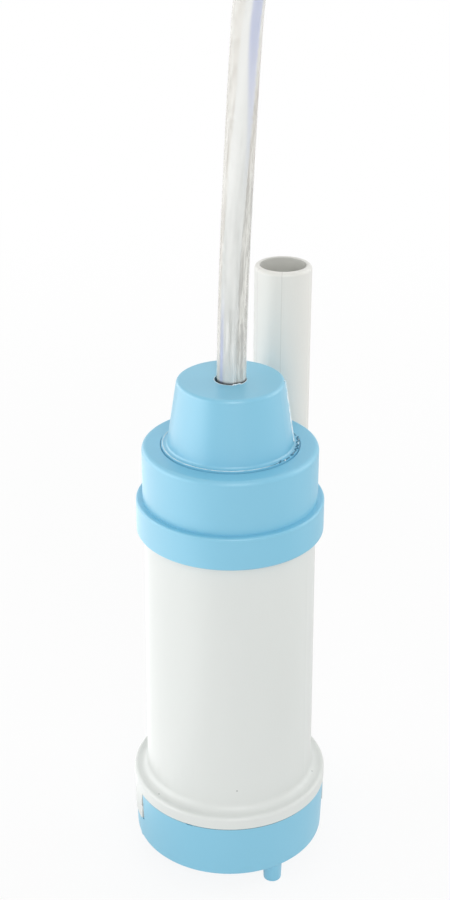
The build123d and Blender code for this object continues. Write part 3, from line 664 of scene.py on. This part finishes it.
def milky_core(finish, angle, along, skin, fleck, lines):
    """Milky core: cloudy, finely lined, with painted shade near the cone, a painted highlight on its left
    higher up, and lilac.
    """
    cloudy = finish.noise(240.0, detail=3.0, place=skin(0.12))
    milk = finish.blend(finish.fade(cloudy, 0.3, 0.7), tint(226, 228, 225), tint(248, 249, 246))
    near_cone = finish.fade(along, *painted_shade_along)
    # Painted shade near the cone, stronger on one side
    painted_shade = near_cone * (0.4 + 0.42 * finish.fade(angle, *painted_shade_round))
    milk = finish.blend(painted_shade, milk, tint(186, 191, 188))
    lined = 0.2 + 0.6 * near_cone
    dark_lines = finish.fade(lines, 0.47, 0.36) * lined
    pale_lines = finish.fade(lines, 0.55, 0.66) * lined
    dark_flecks = finish.fade(fleck, 0.48, 0.34) * 0.4
    milk = finish.blend(dark_lines, milk, tint(184, 186, 180))
    milk = finish.blend(pale_lines, milk, tint(252, 252, 250))
    milk = finish.blend(dark_flecks, milk, tint(196, 198, 195))
    # Painted highlight on the milky core's left, higher up
    painted_highlight = finish.band(angle, *painted_highlight_band) * finish.fade(along, *painted_highlight_along)
    milk = finish.blend(painted_highlight * 0.5, milk, tint(254, 254, 252))
    # Lilac, the marker thread's tint: on the left near the cone and on the right higher up
    low = finish.band(angle, *lilac_low_band) * finish.fade(along, *lilac_low_along)
    widening = angle + lilac_widening * finish.fade(along, *lilac_widening_along)
    high = finish.fade(widening, *lilac_high_left) * finish.fade(angle, *lilac_high_right)
    high = 0.85 * high * finish.fade(along, *lilac_high_along)
    return finish.blend((low + high) * (0.45 + 0.7 * fleck), milk, tint(166, 179, 226))


def mouth_grime(finish, along):
    """Grime on the cable where it comes out of the cone."""
    return grime_strength * finish.fade(along, *grime_along)


def clear_sheath():
    """Clear plastic skin over the cores."""
    finish = Finish("clear sheath")
    _, along, skin = cable_marks(finish)
    cloud = finish.noise(220.0, detail=3.0, place=skin(0.2))
    colour = finish.blend(cloud, tint(236, 238, 237), tint(250, 250, 248))
    return finish.surface(
        Base_Color=finish.blend(mouth_grime(finish, along), colour, tint(*grime_colour)),
        Roughness=0.24 + 0.1 * cloud,
        Alpha=0.3,
        Normal=finish.relief(cloud, cable_grain_depth),
        Specular_IOR_Level=0.7,
    )


def turning_marks(finish):
    """Fine rings round an upright axis."""
    return finish.noise(2400.0, detail=3.0, roughness=0.6, stretch=(0.04, 0.04, 1))


def rolling_marks(finish):
    """Fine upright lines."""
    return finish.noise(1500.0, detail=3.0, roughness=0.6, stretch=(1, 1, 0.04))


def zinc_flowers(finish):
    """Crystals of a zinc coat."""
    crystals = finish.split(finish.cells(420.0, "Color"))[0]
    return crystals * 0.7 + finish.noise(1800.0) * 0.3


def sheet_edges(finish):
    """Edges of the armature's stack of sheets."""
    _, _, height = finish.split(finish.place())
    edges = finish.sine(height * (2 * math.pi / sheet_thickness))
    return 0.5 + 0.3 * edges + 0.2 * finish.noise(1500.0)


def pores(finish):
    """Open pores of sintered or pressed powder."""
    holes = finish.fade(finish.cells(2600.0), 0.12, 0.38)
    return holes * 0.7 + finish.noise(700.0, detail=3.0) * 0.3


def twisted_strands(finish):
    """Fine wires twisted into one."""
    x, y, z = finish.split(finish.place())
    waves = finish.sine((x + strand_slant_y * y + strand_slant_z * z) * strand_waves)
    return 0.5 + 0.35 * waves + 0.15 * finish.noise(2500.0)


def fine_grain(finish):
    """Moulded or ground grain with slow clouds in it."""
    return finish.noise(1900.0, detail=3.0) * 0.6 + finish.noise(90.0, detail=3.0) * 0.4


def glass_fibres(finish):
    """Short fibres near the surface of a filled plastic."""
    return finish.noise(900.0, detail=4.0, roughness=0.8, stretch=(1, 0.15, 0.4))


def paper_fibres(finish):
    """Fibres and creases of a paper-covered strip."""
    fibres = finish.noise(1200.0, detail=5.0, roughness=0.8, stretch=(1, 0.3, 1))
    return fibres * 0.6 + finish.noise(300.0) * 0.4


# Metals inside: name, dark and light colour, roughness, marks and their depth, and the nodes they cover
inner_metals = [
    ("zinced steel", (176, 180, 186), (212, 214, 216), 0.42, zinc_flowers, 0.00001, ["motor_can"]),
    ("spring steel", (118, 122, 134), (152, 154, 160), 0.38, rolling_marks, 0.00001, ["magnet_clip"]),
    ("stainless steel", (196, 197, 200), (224, 224, 224), 0.3, turning_marks, 0.00001,
     ["motor_screws", "motor_shaft", "seal_retainer"]),
    ("electrical steel", (112, 114, 118), (160, 161, 165), 0.5, sheet_edges, 0.00004, ["armature_core"]),
    ("sintered bronze", (158, 112, 66), (204, 158, 104), 0.48, pores, 0.00003,
     ["front_bearing", "rear_bearing"]),
    ("turned copper", (196, 122, 84), (232, 162, 120), 0.34, turning_marks, 0.00001,
     ["commutator_segments"]),
    ("spring bronze", (196, 164, 112), (226, 196, 146), 0.34, rolling_marks, 0.00001,
     ["brush_arms", "motor_terminals"]),
    ("crimped aluminium", (200, 201, 203), (224, 225, 226), 0.4, rolling_marks, 0.00001, ["cable_collar"]),
    ("tinned strands", (180, 178, 172), (222, 221, 216), 0.4, twisted_strands, 0.00006, ["core_tips"]),
]

# Plastic, rubber, carbon and ceramic inside: the same, with the level of their gloss before the nodes
inner_stuffs = [
    ("black rubber", (34, 34, 36), (52, 52, 54), 0.6, fine_grain, 0.00003, 0.3,
     ["cap_seal", "cushion_ring", "shaft_seal"]),
    ("ferrite", (70, 70, 73), (96, 96, 99), 0.6, pores, 0.00003, 0.4, ["field_magnets"]),
    ("brush carbon", (48, 46, 45), (78, 74, 71), 0.5, pores, 0.00003, 0.5, ["brushes"]),
    ("black filled nylon", (44, 44, 47), (64, 64, 67), 0.42, glass_fibres, 0.00003, 0.5,
     ["motor_end_bell", "commutator_hub"]),
    ("natural nylon", (214, 211, 198), (232, 230, 220), 0.4, fine_grain, 0.00002, 0.5, ["thrust_washers"]),
    ("white acetal", (220, 221, 217), (238, 239, 236), 0.34, fine_grain, 0.00002, 0.5, ["impeller"]),
    ("lacquered ceramic", (176, 118, 52), (206, 148, 74), 0.22, fine_grain, 0.00002, 0.6,
     ["suppression_capacitor"]),
    ("core sleeves", (172, 166, 160), (206, 210, 216), 0.24, twisted_strands, 0.00004, 0.6,
     ["lead_wires", "cable_cores"]),
    ("paper tie", (226, 228, 227), (243, 244, 243), 0.6, paper_fibres, 0.00005, 0.3, ["coil_tie"]),
]


def metal(name, dark, light, roughness, marks, depth):
    """Bare metal, whose marks vary its colour, its roughness and its surface."""
    finish = Finish(name)
    pattern = marks(finish)
    return finish.surface(
        Base_Color=finish.blend(pattern, tint(*dark), tint(*light)),
        Metallic=1.0,
        Roughness=roughness - 0.12 * pattern,
        Normal=finish.relief(pattern, depth),
    )


def even_stuff(name, dark, light, roughness, marks, depth, gloss_level):
    """Plastic, rubber, carbon or ceramic, whose marks vary its colour, its roughness and its surface."""
    finish = Finish(name)
    pattern = marks(finish)
    return finish.surface(
        Base_Color=finish.blend(pattern, tint(*dark), tint(*light)),
        Roughness=roughness + 0.15 * pattern,
        Normal=finish.relief(pattern, depth),
        Specular_IOR_Level=gloss_level,
    )


def winding_finish():
    """Enamelled copper wire."""
    finish = Finish("enamelled copper")
    shade = finish.noise(600.0, detail=3.0)
    return finish.surface(
        Base_Color=finish.blend(shade, tint(164, 82, 44), tint(206, 120, 70)),
        Metallic=0.85,
        Roughness=0.24 + 0.14 * shade,
        Normal=finish.relief(shade, wire_grain_depth, strength=0.4),
        Coat_Weight=0.5,
    )


def tube_recipe(name, radius, material):
    """A grooved tube along the cable, with the cores' slow turn and the marks that its finish follows."""
    recipe = Recipe(name)
    radius = recipe.takes("Radius", radius)
    depth = recipe.takes("Groove depth", sheath_groove_depth)
    bearing = recipe.takes("Groove bearing", math.radians(sheath_groove_bearing))
    narrowness = recipe.takes("Groove narrowness", sheath_groove_narrowness)
    first = recipe.takes("Start turn", math.radians(cores_start_turn))
    turn_start = recipe.takes("Straight length", cores_turn_start)
    rate = recipe.takes("Turn per metre", math.radians(cores_turn_per_metre))
    step = recipe.takes("Step", sheath_step)
    sides = recipe.takes("Sides", sheath_sides, "NodeSocketInt")
    skin = recipe.takes("Finish", material, "NodeSocketMaterial")
    # The line, in even steps, tilted as the cores turn
    given = {"Curve": recipe.given.outputs["Geometry"], "Length": step}
    line = recipe.node("GeometryNodeResampleCurve", {"mode": "LENGTH"}, given)
    line = recipe.node("GeometryNodeSetCurveNormal", {"mode": "MINIMUM_TWIST"}, {"Curve": line})
    along = recipe.node("GeometryNodeSplineParameter", output="Length")
    turned = recipe.maths("MAXIMUM", recipe.maths("SUBTRACT", along, turn_start), 0.0)
    tilt = recipe.maths("MULTIPLY_ADD", turned, rate, first)
    line = recipe.node("GeometryNodeSetCurveTilt", inputs={"Curve": line, "Tilt": tilt})
    line = recipe.store(line, "along", along, "FLOAT")
    # The section, a circle with one narrow groove
    spot = recipe.node("GeometryNodeInputPosition")
    pointing = recipe.vector(X=recipe.maths("COSINE", bearing), Y=recipe.maths("SINE", bearing))
    out = recipe.vector_maths("NORMALIZE", {0: spot})
    nearness = recipe.vector_maths("DOT_PRODUCT", {0: out, 1: pointing}, "Value")
    dip = recipe.maths("POWER", recipe.maths("MAXIMUM", nearness, 0.0), narrowness)
    inward = recipe.maths("MULTIPLY", recipe.maths("MULTIPLY", dip, depth), -1.0)
    moved = recipe.vector_maths("SCALE", {0: out, "Scale": inward})
    section = recipe.nudge(recipe.circle(sides, radius), moved)
    section = recipe.store(section, "section", spot, "FLOAT_VECTOR")
    tube = recipe.sweep(line, section, closed_ends=True)
    recipe.finish(tube, skin)
    return recipe


def coil_point(turns):
    """A point of the put-away coil: it spirals in, climbs a layer and spirals out."""
    climb = min(max((turns - coil_turns_in) / coil_climb_turns, 0), 1)
    going_in = coil_pitch * min(turns, coil_turns_in)
    turning = coil_pitch * coil_climb_turns * (climb - climb * climb)
    going_out = coil_pitch * max(turns - coil_turns_in - coil_climb_turns, 0)
    radius = coil_start_radius - going_in - turning + going_out
    height = coil_low_z + coil_rise * climb * climb * (3 - 2 * climb)
    lean = math.atan(coil_pitch / (2 * math.pi * coil_start_radius))
    first = math.pi / 2 + lean
    bearing = first - 2 * math.pi * turns
    x_end, y_end, _ = cable_route[-1]
    x_middle = x_end + 2 * cable_radius - coil_start_radius * math.cos(first)
    y_middle = y_end - coil_start_radius * math.sin(first)
    return (x_middle + radius * math.cos(bearing), y_middle + radius * math.sin(bearing), height)


def cable_points():
    """The cable's control points: the route, the coil's turns and a straight end."""
    count = round(coil_turns * coil_points_per_turn)
    coil = [Vector(coil_point(coil_turns * k / count)) for k in range(count + 1)]
    ahead = (coil[-1] - coil[-2]).normalized()
    return [Vector(p) for p in cable_route] + coil + [coil[-1] + 2 * cable_radius * ahead]


def cable_line():
    """The cable's own line, a NURBS spline on its control points."""
    curve = bpy.data.curves.new("cable line", "CURVE")
    curve.dimensions = "3D"
    curve.resolution_u = line_steps
    points = cable_points()
    spline = curve.splines.new("NURBS")
    spline.points.add(len(points) - 1)
    for control, point in zip(spline.points, points):
        control.co = (*point, 1)
    spline.order_u = 3
    spline.use_endpoint_u = True
    return linked("cable line", curve)


def dress_cable():
    """The cable: cores and clear sheath on one line."""
    line = cable_line()
    path = [v.co.copy() for v in plain_mesh(line, "cable path").vertices]
    cores = tube_recipe("Cable cores", core_bundle_radius, cores_in_sheath())
    cores = cores.make("cable_core_pair", line)
    sheath = tube_recipe("Cable sheath", cable_radius, clear_sheath())
    sheath = sheath.make("cable_sheath", line)
    bpy.data.objects.remove(line)
    for piece in (cores, sheath):
        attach(piece, "pump_housing")
    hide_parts("cable", "cable_coil")


def ragged_ring(recipe, part, radius, height, thickness, ragged, reach):
    """A thin ring of flash round the upright axis, ragged between two bearings."""
    radius = recipe.takes(part + " radius", radius)
    height = recipe.takes(part + " height", height)
    thickness = recipe.takes(part + " thickness", thickness)
    first = recipe.takes(part + " ragged from", math.radians(ragged[0]))
    last = recipe.takes(part + " ragged to", math.radians(ragged[1]))
    reach = recipe.takes(part + " ragged reach", reach)
    fatter = recipe.takes(part + " ragged fatness", flash_fatness - 1)
    even = recipe.takes(part + " even reach", flash_even_reach)
    grain = recipe.takes(part + " grain", flash_grain)
    steps = recipe.takes(part + " steps", flash_steps, "NodeSocketInt")
    # 1 between the two bearings, 0 elsewhere
    spot = recipe.node("GeometryNodeInputPosition")
    x_and_y = recipe.node("ShaderNodeSeparateXYZ", inputs={"Vector": spot}).node.outputs
    bearing = recipe.maths("ARCTAN2", x_and_y["Y"], x_and_y["X"])
    after = recipe.maths("GREATER_THAN", bearing, first)
    rough = recipe.maths("MULTIPLY", after, recipe.maths("LESS_THAN", bearing, last))
    # Every point strays a little, and the ragged ones further
    clouds = {"Vector": spot, "Scale": grain, "Detail": flash_grain_detail}
    coarse = recipe.node("ShaderNodeTexNoise", inputs=clouds, output="Color")
    stray = recipe.vector_maths("SUBTRACT", {0: coarse, 1: (0.5, 0.5, 0.5)})
    far = recipe.maths("MULTIPLY_ADD", rough, reach, even)
    stray = recipe.vector_maths("SCALE", {0: stray, "Scale": far})
    ring = recipe.nudge(recipe.circle(steps, radius), stray)
    ring = recipe.nudge(ring, recipe.vector(Z=height))
    fatness = recipe.maths("MULTIPLY_ADD", rough, fatter, 1.0)
    return recipe.sweep(ring, recipe.circle(flash_sides, thickness), fatness)


def cone_flash():
    """Moulding flash on the cone: round its seat and mouth, and a fine ridge down its parting line."""
    recipe = Recipe("Cone flash")
    skin = recipe.takes("Finish", flash_finish(), "NodeSocketMaterial")
    seat_radius = cone_seat_radius - flash_inset
    seat_z = shoulder_z + seat_height
    seat = ragged_ring(recipe, "Seat", seat_radius, seat_z, flash_radius, ragged_seat, seat_reach)
    mouth = ragged_ring(
        recipe, "Mouth", mouth_radius, cone_top_z, mouth_flash_radius, ragged_mouth, mouth_reach
    )
    top = recipe.takes("Parting line top", cone_side_point(parting_line_top), "NodeSocketVector")
    foot = recipe.takes("Parting line foot", cone_side_point(parting_line_foot), "NodeSocketVector")
    width = recipe.takes("Parting line radius", parting_line_radius)
    ridge = recipe.node("GeometryNodeCurvePrimitiveLine", inputs={"Start": top, "End": foot})
    ridge = recipe.sweep(ridge, recipe.circle(parting_line_sides, width), closed_ends=True)
    recipe.finish(recipe.join(seat, mouth, ridge), skin)
    return recipe


def cone_side_point(share):
    """A point of the cone's parting line, at a share of the cone's height."""
    radius = cone_foot_radius + (cone_top_radius - cone_foot_radius) * share
    height = shoulder_z + (cone_top_z - shoulder_z) * share
    turn = math.radians(parting_line_bearing)
    return (radius * math.cos(turn), radius * math.sin(turn), height)


def armature_coils():
    """Rows of wire turns round three pole necks, over the filled inside of each coil."""
    low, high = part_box("armature_windings")
    recipe = Recipe("Armature coils")
    far = recipe.takes("Far end", high.x)
    near = recipe.takes("Near end", coil_near)
    bottom = recipe.takes("Bottom", low.z)
    top = recipe.takes("Top", high.z)
    wire = recipe.takes("Wire", wire_diameter)
    width = recipe.takes("Width", coil_neck_width + 2 * coil_thickness)
    depth = recipe.takes("Thickness", coil_thickness)
    poles = recipe.takes("Poles", pole_count, "NodeSocketInt")
    skin = recipe.takes("Finish", winding_finish(), "NodeSocketMaterial")
    tall = recipe.maths("SUBTRACT", top, bottom)
    long = recipe.maths("SUBTRACT", far, near)
    half_wire = recipe.maths("DIVIDE", wire, 2.0)
    # Turns: rounded loops, one wire apart
    loop = recipe.rectangle(recipe.maths("SUBTRACT", tall, wire), recipe.maths("SUBTRACT", width, wire))
    corners = {"Curve": loop, "Count": coil_corner_steps, "Radius": depth}
    loop = recipe.node("GeometryNodeFilletCurve", {"mode": "POLY"}, corners)
    turn = recipe.sweep(loop, recipe.circle(wire_sides, half_wire))
    count = recipe.maths("FLOOR", recipe.maths("DIVIDE", long, wire))
    turns = recipe.copies(recipe.row(count, recipe.vector(Z=wire)), turn)
    turns = recipe.move(turns, Translation=recipe.vector(Z=half_wire))
    # Filled inside: one flat ring below the turns
    inset = recipe.maths("ADD", depth, wire)
    middle = recipe.rectangle(recipe.maths("SUBTRACT", tall, inset), recipe.maths("SUBTRACT", width, inset))
    block = recipe.rectangle(recipe.maths("SUBTRACT", depth, wire), recipe.maths("SUBTRACT", long, wire))
    half_long = recipe.maths("DIVIDE", long, 2.0)
    fill = recipe.move(recipe.sweep(middle, block), Translation=recipe.vector(Z=half_long))
    # Laid down with its axis along +X, moved to the shaft's first side and copied round it
    coil = recipe.move(recipe.join(turns, fill), Rotation=(0, math.radians(90), 0))
    centre = recipe.maths("DIVIDE", recipe.maths("ADD", top, bottom), 2.0)
    coil = recipe.move(coil, Translation=recipe.vector(X=near, Z=centre))
    step = recipe.maths("DIVIDE", 2 * math.pi, poles)
    index = recipe.node("GeometryNodeInputIndex")
    swing = recipe.vector(Z=recipe.maths("MULTIPLY", index, step))
    star = recipe.copies(recipe.row(poles, (0, 0, 0)), coil, Rotation=swing)
    recipe.finish(star, skin)
    return recipe


def dress_shell():
    """The outside of the pump."""
    paint("housing", housing_finish())
    paint("riser_tube", riser_finish())
    paint("base_cover", blue_plastic("blue base plastic", blue_roughness, blue_grain_depth, seam_z))
    paint("top_cap", blue_plastic("blue cap plastic", blue_roughness, blue_grain_depth))
    paint("cable_boot", blue_plastic("blue grommet", grommet_roughness, grommet_grain_depth))
    flash = cone_flash().make("cone_flash")
    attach(flash, "pump_housing")


def dress_inside():
    """The motor, the seals and the cable's small pieces."""
    for make, rows in ((metal, inner_metals), (even_stuff, inner_stuffs)):
        for *looks, nodes in rows:
            material = make(*looks)
            for node in nodes:
                paint(node, material)
    coils = armature_coils().make("armature_coils")
    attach(coils, "pump_rotor")
    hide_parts("armature_windings")


def set_camera():
    """The photograph's viewpoint."""
    lens = bpy.data.cameras.new("camera")
    lens.sensor_fit = "VERTICAL"
    lens.sensor_height = 36.0
    lens.lens = lens.sensor_height * focal_pixels / image_height
    lens.clip_start = 0.01
    lens.clip_end = 20.0
    camera = linked("camera", lens)
    bearing = math.radians(camera_bearing)
    x, y = camera_distance * math.sin(bearing), -camera_distance * math.cos(bearing)
    heading = Matrix.Rotation(bearing - math.radians(camera_yaw), 4, "Z")
    tilt = Matrix.Rotation(math.radians(90 - camera_pitch), 4, "X")
    roll = Matrix.Rotation(math.radians(camera_roll), 4, "Z")
    camera.matrix_world = Matrix.Translation((x, y, camera_height)) @ heading @ tilt @ roll
    bpy.context.scene.camera = camera


def softbox(name, bearing, height, distance, width, tall, power, aim_height, gloss_only):
    """A soft light that faces a height on the pump's axis, at a bearing counted from the camera's side."""
    light = bpy.data.lights.new(name, "AREA")
    light.shape = "RECTANGLE"
    light.size = width
    light.size_y = tall
    light.energy = power
    lamp = linked(name, light)
    lamp.visible_diffuse = not gloss_only
    lamp.visible_camera = not gloss_only
    turn = math.radians(camera_bearing + bearing)
    place = Vector((distance * math.sin(turn), -distance * math.cos(turn), height))
    aim = place - Vector((0, 0, aim_height))
    lamp.matrix_world = Matrix.Translation(place) @ aim.to_track_quat("Z", "Y").to_matrix().to_4x4()


def set_world():
    """White where the camera, gloss or clear plastic sees it, and a plain level of light elsewhere."""
    world = Finish("studio", "worlds")
    direct, mirrored, through = world.sights()
    lit = world.node("ShaderNodeBackground", inputs={"Color": white, "Strength": world_strength})
    shown = world.node("ShaderNodeBackground", inputs={"Color": white, "Strength": 1.0})
    mixed = world.node("ShaderNodeMixShader", inputs={0: direct + through + mirrored, 1: lit, 2: shown})
    world.node("ShaderNodeOutputWorld", inputs={"Surface": mixed})
    bpy.context.scene.world = world.made


def floor_finish():
    """Matt white that looks white to the camera and still takes the object's shadow."""
    finish = Finish("white floor")
    matt = finish.node("ShaderNodeBsdfDiffuse", inputs={"Color": floor_colour})
    glow = finish.node("ShaderNodeEmission", inputs={"Color": white, "Strength": 1.0})
    far_off = finish.fade(finish.length(finish.place()), floor_white_start, floor_white_full)
    clear = floor_near_white + (1 - floor_near_white) * far_off
    direct, mirrored, through = finish.sights()
    shown = direct * clear + mirrored + through
    mixed = finish.node("ShaderNodeMixShader", inputs={0: shown, 1: matt, 2: glow})
    finish.node("ShaderNodeOutputMaterial", inputs={"Surface": mixed})
    return finish.made


def set_stage():
    """Pale floor, white surroundings and soft lights."""
    set_world()
    mesh = bpy.data.meshes.new("floor")
    reach = floor_half_width
    corners = [(-reach, -reach, 0), (reach, -reach, 0), (reach, reach, 0), (-reach, reach, 0)]
    mesh.from_pydata(corners, [], [(0, 1, 2, 3)])
    floor = linked("floor", mesh)
    mesh.materials.append(floor_finish())
    for light in soft_lights:
        softbox(*light)


bpy.context.scene.view_settings.view_transform = "Standard"
set_camera()
dress_cable()
dress_shell()
dress_inside()
set_stage()
